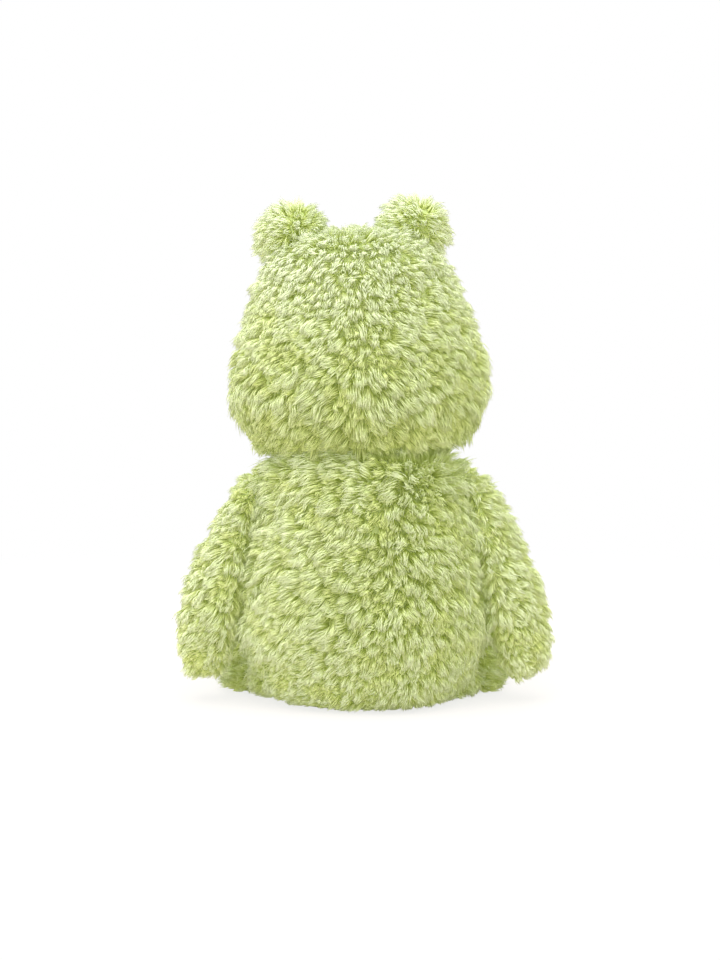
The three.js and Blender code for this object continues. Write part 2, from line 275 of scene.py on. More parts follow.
def threadFinish():
    finish = Finish(bpy.data.materials.new("stitchThread"))
    place = finish.node("ShaderNodeTexCoord", out=3)
    fibre = finish.node("ShaderNodeTexNoise", None, {"Vector": place, "Scale": 1600.0, "Detail": 2.0})
    colour = finish.node("ShaderNodeValToRGB", {"stops": [
        (0.3, screenColour(62, 78, 34)),
        (0.7, screenColour(92, 110, 54)),
    ]}, [fibre])
    bump = finish.node("ShaderNodeBump", None, {"Strength": 0.3, "Distance": 0.1 * mm, "Height": fibre})
    finish.set({"Base Color": colour, "Roughness": 0.6, "Normal": bump})
    return finish.owner


finishes = {
    "pile": pileFinish(),
    "backing": backingFinish(),
    "eye": eyeFinish(),
    "thread": threadFinish(),
}
print("finishes made")


# Small modelling helpers
def deselectAll():
    bpy.ops.object.select_all(action="DESELECT")


def selectOnly(*pieces):
    deselectAll()
    for piece in pieces:
        piece.select_set(True)
    bpy.context.view_layer.objects.active = pieces[0]


def applyModifier(piece, name, kind, settings):
    selectOnly(piece)
    modifier = piece.modifiers.new(name, kind)
    for key, value in settings.items():
        setattr(modifier, key, value)
    bpy.ops.object.modifier_apply(modifier=name)


def copyNodes(name, nodes):  # one merged mesh of the frame's own solids
    copies = []
    for node in nodes:
        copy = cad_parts[node].copy()
        copy.data = copy.data.copy()
        copy.parent = None
        for key in list(copy.keys()):
            del copy[key]
        bpy.context.scene.collection.objects.link(copy)
        copies.append(copy)
    selectOnly(*copies)
    if len(copies) > 1:
        bpy.ops.object.join()
    piece = bpy.context.view_layer.objects.active
    piece.name = name
    piece.data.name = name
    piece.data.materials.clear()
    bpy.ops.object.mode_set(mode="EDIT")
    bpy.ops.mesh.select_all(action="SELECT")
    bpy.ops.mesh.remove_doubles(threshold=mergeGap)
    bpy.ops.object.mode_set(mode="OBJECT")
    return piece


def pointsOf(piece):
    points = np.empty(len(piece.data.vertices) * 3)
    piece.data.vertices.foreach_get("co", points)
    return points.reshape(-1, 3)


def setPoints(piece, points):
    piece.data.vertices.foreach_set("co", np.asarray(points, float).ravel())
    piece.data.update()


def solidTree(piece):
    return BVHTree.FromObject(piece, bpy.context.evaluated_depsgraph_get())


def pointTree(points):  # finds the nearest of many points
    tree = kdtree.KDTree(len(points))
    for i, point in enumerate(points):
        tree.insert(Vector(point), i)
    tree.balance()
    return tree


def unit(vectors):
    return vectors / np.maximum(np.linalg.norm(vectors, axis=-1, keepdims=True), 1e-12)


# Stuffed cloth forms under the pile
stuffedForms = {
    "torsoCloth": {"from": ["torso_stuffing", "pellet_bag"], "body": "torso",
                   "hides": ["torso_skin", "torso_stuffing", "pellet_bag"],
                   "voxel": 5 * mm, "sink": 0.5 * mm, "cap": 1.6 * mm, "fill": 0.8,
                   "swells": (((58, 0, 14), (20, 45, 12), (-3.5, 0, 0)),
                              ((54, -18, 5), (14, 16, 12), (19, 0, -1)),
                              ((0, 32, 122), (38, 24, 18), (0, 2, 8)),
                              ((46, 8, 119), (16, 26, 12), (0, 0, 2.5)))},
    "headCloth": {"from": ["head_stuffing"], "body": "head", "hides": ["head_skin", "head_stuffing"],
                  "voxel": 5 * mm, "sink": 0.9 * mm, "cap": 1.6 * mm, "fill": 0.85},
    "neckCloth": {"from": ["neck_stuffing"], "body": "neck", "hides": ["neck_stuffing"],
                  "voxel": 4 * mm, "sink": 0.6 * mm, "cap": 0.6 * mm, "fill": 0.7},
}
for side in ("left", "right"):
    stuffedForms["bumpCloth_" + side] = {
        "from": ["eye_bump_stuffing_" + side, "eye_washer_" + side],
        "hides": ["eye_bump_skin_" + side, "eye_bump_stuffing_" + side, "eye_washer_" + side],
        "body": "head", "voxel": 2.6 * mm, "sink": -0.9 * mm, "cap": 0.8 * mm, "fill": 0.9}
    stuffedForms["armCloth_" + side] = {
        "from": ["arm_skin_" + side, "arm_stuffing_" + side], "body": "arm_" + side,
        "hides": ["arm_skin_" + side, "arm_stuffing_" + side],
        "voxel": 3 * mm, "sink": 2.0 * mm, "cap": 1.2 * mm, "fill": 0.7}
    stuffedForms["legCloth_" + side] = {
        "from": ["leg_skin_" + side, "leg_stuffing_" + side], "body": "leg_" + side,
        "hides": ["leg_skin_" + side, "leg_stuffing_" + side],
        "voxel": 3.4 * mm, "sink": 0.5 * mm, "cap": 1.2 * mm, "fill": 0.75,
        "swells": (((60, -40, 7), (14, 15, 12), (9, 16, -3)), ((66, -64, 6), (12, 24, 11), (6, 0, -2)))}

clothSetup = {"pressure": 4, "frames": 14, "stiffness": 20, "step": 0.8 * mm,
              "smooth": {"factor": 0.5, "iterations": 3}}


def inflate(piece, cap):
    rest = pointsOf(piece)
    selectOnly(piece)
    cloth = piece.modifiers.new("Cloth", "CLOTH")
    cloth.settings.use_pressure = True
    cloth.settings.uniform_pressure_force = clothSetup["pressure"]
    cloth.settings.effector_weights.gravity = 0
    cloth.settings.tension_stiffness = clothSetup["stiffness"]
    cloth.settings.compression_stiffness = clothSetup["stiffness"]
    cloth.point_cache.frame_start = 1
    cloth.point_cache.frame_end = clothSetup["frames"]
    for step in range(1, clothSetup["frames"] + 1):
        bpy.context.scene.frame_set(step)
    bpy.ops.object.modifier_apply(modifier="Cloth")
    bpy.context.scene.frame_set(1)
    moved = pointsOf(piece) - rest
    size = np.linalg.norm(moved, axis=1, keepdims=True)
    setPoints(piece, rest + moved * np.minimum(1, cap / np.maximum(size, 1e-9)))


def swell(piece, middle, reach, move):  # pushes both sides out or in round one place
    points = pointsOf(piece)
    side = np.sign(points[:, :1]) * (1, 0, 0) + (0, 1, 1)
    away = (points * side / mm - middle) / reach
    setPoints(piece, points + side * move * mm * np.exp(-(away ** 2).sum(1))[:, None])


def stuffedForm(name, spec):
    piece = copyNodes(name, spec["from"])
    applyModifier(piece, "Remesh", "REMESH", {"mode": "VOXEL", "voxel_size": spec["voxel"]})
    applyModifier(piece, "Smooth", "SMOOTH", clothSetup["smooth"])
    bpy.ops.object.mode_set(mode="EDIT")
    bpy.ops.mesh.select_all(action="SELECT")
    bpy.ops.mesh.normals_make_consistent(inside=False)
    steps = math.ceil(abs(spec["sink"]) / clothSetup["step"])
    for step in range(steps):
        bpy.ops.transform.shrink_fatten(value=-spec["sink"] / steps)
        bpy.ops.mesh.vertices_smooth(factor=clothSetup["smooth"]["factor"], repeat=1)
    bpy.ops.object.mode_set(mode="OBJECT")
    inflate(piece, spec["cap"])
    for place in spec.get("swells", ()):
        swell(piece, *place)
    applyModifier(piece, "Smooth", "SMOOTH", clothSetup["smooth"])
    applyModifier(piece, "Subdivision", "SUBSURF", {"levels": 1, "render_levels": 1})
    selectOnly(piece)
    bpy.ops.object.shade_smooth()
    piece.data.materials.append(finishes["backing"])
    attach(piece, spec["body"])
    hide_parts(*spec["hides"])
    return piece


forms = {}
for name, spec in stuffedForms.items():
    forms[name] = stuffedForm(name, spec)
    points = pointsOf(forms[name]) / mm
    print("stuffed", name, len(points), points.min(0).round(1), points.max(0).round(1))


seatSetup = {"radius": 39.4 * mm, "depthShare": 0.86, "low": 0.5 * mm, "thick": 1.5 * mm, "edge": 0.5 * mm,
             "stitches": 66, "stitchRing": 36 * mm, "stitch": (1.25 * mm, 0.34 * mm, 0.38 * mm),
             "crease": math.radians(35)}


def modelSeat():  # the flat panel that closes the torso from below, sewn round with long stitches
    setup = seatSetup
    deselectAll()
    bpy.ops.mesh.primitive_cylinder_add(vertices=96, radius=setup["radius"], depth=setup["thick"],
                                        location=(0, 0, setup["low"] + setup["thick"] / 2))
    panel = bpy.context.object
    bpy.ops.object.transform_apply(location=True)
    bpy.ops.object.mode_set(mode="EDIT")
    bpy.ops.mesh.select_all(action="SELECT")
    bpy.ops.transform.resize(value=(1, setup["depthShare"], 1))
    bpy.ops.mesh.select_all(action="DESELECT")
    bpy.ops.mesh.select_mode(type="FACE")
    bpy.ops.object.mode_set(mode="OBJECT")
    for face in panel.data.polygons:
        face.select = abs(face.normal.z) > 0.5
    bpy.ops.object.mode_set(mode="EDIT")
    bpy.ops.mesh.bevel(offset=setup["edge"], segments=3)
    bpy.ops.object.mode_set(mode="OBJECT")
    bpy.ops.object.shade_smooth_by_angle(angle=setup["crease"])
    panel.data.materials.append(finishes["backing"])
    stitches = []
    for number in range(setup["stitches"]):
        angle = number / setup["stitches"] * 2 * math.pi
        bpy.ops.mesh.primitive_uv_sphere_add(segments=8, ring_count=6, radius=1)
        stitch = bpy.context.object
        place = Vector((math.cos(angle), math.sin(angle) * setup["depthShare"], 0)) * setup["stitchRing"]
        along = Vector((-math.sin(angle), math.cos(angle) * setup["depthShare"], 0))
        place.z = setup["low"]
        stitch.data.transform(Matrix.Translation(place) @ along.to_track_quat("X", "Z").to_matrix().to_4x4()
                              @ Matrix.Diagonal((*setup["stitch"], 1)))
        stitches.append(stitch)
    seam = joined("seatSeam", stitches)
    bpy.ops.object.shade_smooth()
    seam.data.materials.append(finishes["thread"])
    panel.name = "seatCloth"
    for piece in (panel, seam):
        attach(piece, "torso")
    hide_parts("seat_panel")


# The face: plastic eyes, an embroidered mouth and nostrils
headSetup = {"neckHeight": 135 * mm, "lean": 2.9}


def headPlace(x, y, height):  # millimetres above the neck's centre, in the leaning head
    turn = Matrix.Rotation(math.radians(headSetup["lean"]), 3, "Y")
    return turn @ (Vector((x, y, height)) * mm) + Vector((0, 0, headSetup["neckHeight"]))


def headWay(x, y, z):
    return Matrix.Rotation(math.radians(headSetup["lean"]), 3, "Y") @ Vector((x, y, z)).normalized()


eyeSetup = {
    "bump": (32.4, -8, 117.8), "way": (0.2396, -0.9609, 0.1392), "seat": 16.96,
    "radius": 8.5 * mm, "dome": 5 * mm, "rim": 0.6 * mm, "rimShares": (0.6, 0.4), "backShare": 0.94,
    "stemRadius": 2 * mm, "stemLength": 9 * mm, "stemTip": 0.8 * mm, "tipShare": 0.7,
    "crease": math.radians(40),
}


def eyeSeat(sign):  # the middle of an eye's flat back, and the way that it looks
    x, y, height = eyeSetup["bump"]
    way = eyeSetup["way"]
    facing = headWay(sign * way[0], way[1], way[2])
    return headPlace(sign * x, y, height) + facing * eyeSetup["seat"] * mm, facing


def modelEye(side, sign):  # a polished dome on a short rim, and the stem that holds it
    setup = eyeSetup
    deselectAll()
    bpy.ops.mesh.primitive_uv_sphere_add(segments=48, ring_count=32, radius=setup["radius"])
    eye = bpy.context.object
    eye.name = "eyeDome_" + side
    bpy.ops.object.mode_set(mode="EDIT")
    bpy.ops.mesh.select_mode(type="EDGE")
    bpy.ops.mesh.select_all(action="SELECT")
    bpy.ops.mesh.bisect(plane_co=(0, 0, 0), plane_no=(0, 0, 1), clear_inner=True, threshold=mergeGap)
    bpy.ops.mesh.select_all(action="SELECT")
    bpy.ops.transform.resize(value=(1, 1, (setup["dome"] - setup["rim"]) / setup["radius"]))
    bpy.ops.transform.translate(value=(0, 0, setup["rim"]))
    bpy.ops.mesh.select_all(action="DESELECT")
    bpy.ops.mesh.select_non_manifold()
    stem = setup["stemRadius"] / setup["radius"]
    back = setup["backShare"]
    front, rear = (setup["rim"] * share for share in setup["rimShares"])
    for drop, grow in ((front, 1), (rear, back), (0, stem / back),
                       (setup["stemLength"] - setup["stemTip"], 1), (setup["stemTip"], setup["tipShare"])):
        bpy.ops.mesh.extrude_edges_move(TRANSFORM_OT_translate={"value": (0, 0, -drop)})
        bpy.ops.transform.resize(value=(grow, grow, 1))
    bpy.ops.mesh.edge_face_add()
    bpy.ops.mesh.select_all(action="SELECT")
    bpy.ops.mesh.normals_make_consistent(inside=False)
    bpy.ops.object.mode_set(mode="OBJECT")
    bpy.ops.object.shade_smooth_by_angle(angle=setup["crease"])
    seat, facing = eyeSeat(sign)
    eye.data.transform(Matrix.Translation(seat) @ facing.to_track_quat("Z", "Y").to_matrix().to_4x4())
    eye.data.materials.append(finishes["eye"])
    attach(eye, "head")
    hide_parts("eye_" + side)


mouthSetup = {
    "rings": 15, "steps": 90, "plies": 3, "plyRadius": 0.72 * mm, "plyOffset": 0.74 * mm,
    "twistLength": 6.5 * mm, "tuck": 5 * mm, "tuckShare": 0.6, "smoothing": 6,
    "crease": math.radians(50),
}


def mouthPath():  # the middle of the frame's own stitch, from its rings of corners
    points = pointsOf(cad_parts["mouth_stitch"])
    points = points[np.argsort(points[:, 0])]
    rings = np.array([group.mean(0) for group in np.array_split(points, mouthSetup["rings"])])
    cut = np.linspace(0, 1, len(rings))
    fine = np.linspace(0, 1, mouthSetup["steps"])
    path = np.stack([np.interp(fine, cut, rings[:, k]) for k in range(3)], 1)
    for repeat in range(mouthSetup["smoothing"]):
        path[1:-1] = (path[:-2] + 2 * path[1:-1] + path[2:]) / 4
    return path


def tube(points, radius, sides):  # a round thread through points, closed at both ends
    curve = bpy.data.curves.new("thread", "CURVE")
    curve.dimensions = "3D"
    curve.bevel_depth = radius
    curve.bevel_resolution = sides
    curve.use_fill_caps = True
    spline = curve.splines.new("POLY")
    spline.points.add(len(points) - 1)
    for point, place in zip(spline.points, points):
        point.co = (*place, 1)
    piece = bpy.data.objects.new("thread", curve)
    bpy.context.scene.collection.objects.link(piece)
    selectOnly(piece)
    bpy.ops.object.convert(target="MESH")
    return bpy.context.object


def joined(name, parts):
    selectOnly(*parts)
    bpy.ops.object.join()
    piece = bpy.context.object
    piece.name = name
    bpy.ops.object.mode_set(mode="EDIT")
    bpy.ops.mesh.select_all(action="SELECT")
    bpy.ops.mesh.normals_make_consistent(inside=False)
    bpy.ops.object.mode_set(mode="OBJECT")
    return piece


def modelMouth():  # three plies of thread laid round each other, tucked in at the cheeks
    setup = mouthSetup
    path = mouthPath()
    along = unit(np.gradient(path, axis=0))
    out = unit(np.cross(along, (0, 0, 1)))
    up = np.cross(out, along)
    travelled = np.concatenate([[0], np.cumsum(np.linalg.norm(np.diff(path, axis=0), axis=1))])
    ends = np.minimum(travelled, travelled[-1] - travelled) / setup["tuck"]
    sink = np.clip(1 - ends, 0, 1) ** 2 * setup["tuck"] * setup["tuckShare"]
    inwards = np.array([0, 1, 0])
    plies = []
    for ply in range(setup["plies"]):
        turn = travelled / setup["twistLength"] * 2 * math.pi + ply * 2 * math.pi / setup["plies"]
        offset = out * np.cos(turn)[:, None] + up * np.sin(turn)[:, None]
        points = path + offset * setup["plyOffset"] + inwards * sink[:, None]
        plies.append(tube(points, setup["plyRadius"], 3))
    mouth = joined("mouthThread", plies)
    bpy.ops.object.shade_smooth_by_angle(angle=setup["crease"])
    mouth.data.materials.append(finishes["thread"])
    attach(mouth, "head")
    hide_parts("mouth_stitch")


nostrilSetup = {"size": (2.2, 1.5, 2.9), "pitch": 0.62 * mm, "ridge": 0.16 * mm}


def nostrilMiddle(side):
    low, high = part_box("nostril_" + side)
    return (Vector(low) + Vector(high)) / 2


def modelNostril(side):  # an oval of satin stitches, ridge by ridge
    setup = nostrilSetup
    deselectAll()
    bpy.ops.mesh.primitive_uv_sphere_add(segments=48, ring_count=40, radius=mm)
    nostril = bpy.context.object
    nostril.name = "nostrilStitches_" + side
    bpy.ops.object.mode_set(mode="EDIT")
    bpy.ops.mesh.select_all(action="SELECT")
    bpy.ops.transform.resize(value=setup["size"])
    bpy.ops.object.mode_set(mode="OBJECT")
    points = pointsOf(nostril)
    ridge = np.abs(np.sin(points[:, 2] / setup["pitch"] * math.pi))
    setPoints(nostril, points + unit(points) * (ridge * setup["ridge"])[:, None])
    bpy.ops.object.shade_smooth()
    nostril.data.transform(Matrix.Translation(nostrilMiddle(side)))
    nostril.data.materials.append(finishes["thread"])
    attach(nostril, "head")
    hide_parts("nostril_" + side)


modelSeat()
for side, sign in (("left", 1), ("right", -1)):
    modelEye(side, sign)
    modelNostril(side)
modelMouth()
print("face modelled")


# The pile
hairSides = 3
hairKinds = {"Locks": ((0.0, 0.9), (0.76, 1.0)), "Under": ((0.0, 2.0),)}


def modelHair(rings):  # one hair, a unit long and a unit thick, drawn up from a triangle to a point
    deselectAll()
    bpy.ops.mesh.primitive_circle_add(vertices=hairSides, radius=rings[0][1], fill_type="NGON")
    hair = bpy.context.object
    bpy.ops.object.mode_set(mode="EDIT")
    bpy.ops.mesh.select_all(action="SELECT")
    for (below, thin), (above, thick) in zip(rings, rings[1:]):
        bpy.ops.mesh.extrude_region_move(TRANSFORM_OT_translate={"value": (0, 0, above - below)})
        bpy.ops.transform.resize(value=(thick / thin, thick / thin, 1))
    bpy.ops.mesh.extrude_region_move(TRANSFORM_OT_translate={"value": (0, 0, 1 - rings[-1][0])})
    bpy.ops.mesh.merge(type="CENTER")
    bpy.ops.mesh.select_all(action="SELECT")
    bpy.ops.mesh.quads_convert_to_tris()
    bpy.ops.mesh.normals_make_consistent(inside=False)
    bpy.ops.object.mode_set(mode="OBJECT")
    points = pointsOf(hair)
    faces = [list(face.vertices) for face in hair.data.polygons]
    bpy.data.objects.remove(hair)
    return points, faces


hairBlanks = {kind: modelHair(rings) for kind, rings in hairKinds.items()}
print("hairs:", {kind: len(faces) for kind, (points, faces) in hairBlanks.items()})

pileSetup = {
    "firstSeed": 11, "triesPerRoot": 5, "mostTriangles": 190000,
    "spacing": 2.57 * mm, "length": 10 * mm, "lengthSpread": 0.08, "shortest": 4.5 * mm,
    "lockWidth": 1.85 * mm, "lockThickness": 1.25 * mm, "tipWidth": 0.82, "tipThickness": 0.6,
    "hairs": 24, "hairRadius": 0.275 * mm, "radiusSpread": (0.8, 1.25), "rootDepth": 0.8 * mm,
    "lean": 56, "leanSpread": 10, "swirl": 20, "rise": 0.45, "kneeSpread": 1.1, "twist": 0.5, "curl": 0.2,
    "stray": 0.075, "uneven": 0.07, "outerLoss": 0.12, "flowGain": 1.3, "flat": 0.7,
    "backWidth": 20 * mm, "liftWidth": 0.4, "seatFacing": -0.7,
    # The wave and tuft tone values slide the low locks towards the greener root colour: painted shade in the
    # valleys between tufts.
    "waveSize": 11 * mm, "waveNoise": 1.3, "waveGain": 1.4, "waveHeight": 0.3, "waveValleyShade": 0.6,
    "tuftSize": 9 * mm, "tuftNoise": 3.7, "tuftPull": 0.5,
    "gatherSpacing": 4.7 * mm, "gather": 0.42, "gatherHeight": 0.14, "gatherSway": 1.6 * mm,
    "gatherValleyShade": 1.5, "gatherValleyShadeMost": 0.3,
    "tintSize": 18 * mm, "tintNoise": 9.1, "tintMiddle": 0.5, "tintWave": 0.4, "tintSpread": 0.15,
    "lockTintMost": 0.96, "hairTint": 0.04, "hairTintMost": 0.97,
    "searchRoom": 12 * mm, "rayStart": 0.5 * mm, "rayReach": 25 * mm, "reachShare": 0.95,
    "ground": 0.4 * mm, "groundSpread": 1.2 * mm,
    "underShare": 0.58, "underSpread": 1.6, "underLength": (0.7, 0.98), "underShade": 0.78,
    "underCalm": (0.2, 1),
}
piles = {
    "torsoPile": {"form": "torsoCloth", "body": "torso", "seat": 37 * mm,
                  "part": ((0.1, -26 * mm), (0.124, -42 * mm)),
                  "partWidth": ((0, 32 * mm),), "depth": 0.5, "middle": -35 * mm, "downSide": (1.7, 0.8),
                  "down": ((0.005, 0.9), (0.03, 0.7), (0.115, 0.5), (0.127, 0.2)), "lift": 0.3,
                  "flare": ((60, -18, 5, 15, 0.7), (48, 6, 126, 11, 0.6)),
                  # The torso's lower part is painted paler: painted light bounced up from the floor.
                  "shade": ((0.02, 1.12), (0.06, 1.0)), "light": ((0.02, 0.35), (0.07, 0.05)),
                  "size": ((0.004, 0.6), (0.015, 0.6), (0.03, 0.75), (0.045, 1.0), (0.115, 1.0),
                           (0.127, 1.25)),
                  "near": {"armCloth_left": 1.2 * mm, "armCloth_right": 1.2 * mm, "headCloth": 1.2 * mm,
                           "legCloth_left": 2.5 * mm, "legCloth_right": 2.5 * mm, "neckCloth": 6 * mm}},
    "headPile": {"form": "headCloth", "body": "head", "part": ((0, 3 * mm),), "depth": 0.6,
                 "partWidth": ((0.2, 10 * mm), (0.235, 50 * mm)),
                 "down": ((0.15, 1.4), (0.18, 0.95), (0.215, 0.55), (0.235, 0.45)), "lift": 0,
                 "stand": ((0.143, 0.4), (0.15, 1.0), (0.215, 1.0), (0.235, 1.25)),
                 "wave": ((0.15, 1.2), (0.2, 1.1), (0.235, 0.25)),
                 # The head's underside is painted greener and darker: painted shade under the head, above
                 # the torso. Its top is painted paler: painted light from above.
                 "shade": ((0.14, 0.7), (0.17, 1.0), (0.2, 1.0), (0.23, 1.35)),
                 "light": ((0.145, -0.4), (0.19, 0), (0.225, 0.7)),
                 "size": ((0.145, 0.75), (0.16, 0.95), (0.18, 0.95), (0.215, 0.85), (0.24, 0.8)),
                 "near": {"bumpCloth_left": 1.2 * mm, "bumpCloth_right": 1.2 * mm, "torsoCloth": 1.2 * mm,
                          "neckCloth": 6 * mm}},
    "neckPile": {"form": "neckCloth", "body": "neck", "part": ((0, 0),), "depth": 1.0,
                 "partWidth": ((0, 5 * mm),), "down": ((0, 0.2),), "size": ((0, 0.6),),
                 "near": {"headCloth": 4.5 * mm, "torsoCloth": 4.5 * mm}},
}
for side, sign in (("left", 1), ("right", -1)):
    piles["bumpPile_" + side] = {
        "form": "bumpCloth_" + side, "body": "head", "part": ((0, sign * 33 * mm),),
        "partWidth": ((0, 12 * mm),), "lean": 57, "depth": 0.5, "down": ((0, 0.3),),
        "size": ((0, 0.78),), "flat": 0.7, "wave": ((0, 0.3),),
        # The eye bumps are painted paler: painted light on the top of the head.
        "shade": ((0, 1.3),), "light": ((0, 0.65),),
        "near": {"headCloth": 1.5 * mm}}
    piles["armPile_" + side] = {
        "form": "armCloth_" + side, "body": "arm_" + side,
        "part": ((0.095, sign * 63 * mm), (0.118, sign * 36 * mm)),
        "partWidth": ((0, 10 * mm),), "lean": 60, "depth": 0.3, "down": ((0.105, 1.0), (0.122, 0.5)),
        "size": ((0.018, 0.62), (0.04, 0.72), (0.06, 0.82), (0.105, 0.85), (0.122, 0.82)),
        # The arms are painted paler: painted light.
        "shade": ((0, 1.07),), "light": ((0, 0.35),),
        "near": {"torsoCloth": 1.2 * mm, "headCloth": 2 * mm}}
    piles["legPile_" + side] = {
        "form": "legCloth_" + side, "body": "leg_" + side, "part": ((0, sign * 50 * mm),),
        "partWidth": ((0, 10 * mm),), "depth": 0.6, "middle": -58 * mm, "down": ((0.01, 0.05), (0.03, 0.35)),
        "size": ((0.012, 0.9), (0.03, 0.85)),
        "near": {"torsoCloth": 1.5 * mm}}


def scatter(piece, spacing, random):  # evenly spaced points on a form, with its smooth normals
    mesh = piece.data
    mesh.calc_loop_triangles()
    corners = np.empty(len(mesh.loop_triangles) * 3, int)
    mesh.loop_triangles.foreach_get("vertices", corners)
    corners = corners.reshape(-1, 3)
    points = pointsOf(piece)
    normals = np.empty(len(mesh.vertices) * 3)
    mesh.vertices.foreach_get("normal", normals)
    normals = normals.reshape(-1, 3)
    a, b, c = (points[corners[:, k]] for k in range(3))
    areas = np.linalg.norm(np.cross(b - a, c - a), axis=1) / 2
    count = int(areas.sum() / spacing ** 2 * pileSetup["triesPerRoot"])
    chosen = random.choice(len(areas), count, p=areas / areas.sum())
    u, v = random.random(count), random.random(count)
    flip = u + v > 1
    u[flip], v[flip] = 1 - u[flip], 1 - v[flip]
    shares = np.stack([1 - u - v, u, v], 1)
    places = (points[corners[chosen]] * shares[:, :, None]).sum(1)
    facing = unit((normals[corners[chosen]] * shares[:, :, None]).sum(1))
    taken = {}
    kept = []
    cells = np.floor(places / spacing).astype(int)
    for i in range(count):
        x, y, z = cells[i]
        near = [j for dx in (-1, 0, 1) for dy in (-1, 0, 1) for dz in (-1, 0, 1)
                for j in taken.get((x + dx, y + dy, z + dz), ())]
        if near and (((places[near] - places[i]) ** 2).sum(1) < spacing ** 2).any():
            continue
        taken.setdefault((x, y, z), []).append(i)
        kept.append(i)
    return places[kept], facing[kept]


def slowNoise(places, size, offset):
    return np.array([noise.noise_vector(Vector(p / size) + Vector((offset,) * 3)) for p in places])


def clearOf(places, near):  # leaves out the roots that another limb's cloth covers
    free = np.ones(len(places), bool)
    for name, room in near.items():
        tree = solidTree(forms[name])
        for i, place in enumerate(places):
            hit, facing, index, distance = tree.find_nearest(Vector(place), pileSetup["searchRoom"])
            if hit is not None and ((Vector(place) - hit).dot(facing) < 0 or distance < room):
                free[i] = False
    return free


def reachAlong(places, ways, names, most):  # how far a lock goes before another limb's cloth
    reach = np.full(len(places), most)
    for name in names:
        tree = solidTree(forms[name])
        for i, (place, way) in enumerate(zip(places, ways)):
            hit, facing, index, distance = tree.ray_cast(Vector(place), Vector(way), most)
            if hit is not None:
                reach[i] = min(reach[i], distance)
    return reach


def atHeight(places, table):  # a value that changes with height
    heights, values = zip(*table)
    return np.interp(places[:, 2], heights, values)


def combed(places, spec):  # which way the locks lie: out from a parting, and down
    side = np.tanh((places[:, 0] - atHeight(places, spec["part"])) / atHeight(places, spec["partWidth"]))
    back = np.tanh((places[:, 1] - spec.get("middle", 0)) / pileSetup["backWidth"]) * spec["depth"]
    down = atHeight(places, spec["down"]) * np.interp(side, (-1, 1), spec.get("downSide", (1, 1)))
    lift = spec.get("lift", 0) * np.exp(-(side / pileSetup["liftWidth"]) ** 2)
    return np.stack([side, back, -down], 1), 1 - lift


def gathered(places, tips, calm, form, random):  # neighbouring locks lean together into tufts
    setup = pileSetup
    middles = scatter(form, setup["gatherSpacing"], random)[0]
    tree = pointTree(middles)
    own = np.array([tree.find(Vector(place))[1] for place in places])
    counts = np.maximum(np.bincount(own, minlength=len(middles)), 1)[:, None]
    means = [np.stack([np.bincount(own, points[:, k], len(middles)) for k in range(3)], 1) / counts
             for points in (places, tips)]
    height = random.normal(0, setup["gatherHeight"], len(middles))
    sway = random.normal(0, setup["gatherSway"], (len(middles), 3))
    tufts = means[1] + sway
    grown = (means[1] - means[0])[own] * (height[own] * calm)[:, None]
    # Tufts that sit lower get a greener, darker tone: painted shade in the valleys.
    lowTuftShade = 1 - setup["gatherValleyShade"] * np.clip(-height[own] * calm, 0, setup["gatherValleyShadeMost"])
    return tips + (tufts[own] - tips) * (setup["gather"] * calm)[:, None] + grown, lowTuftShade


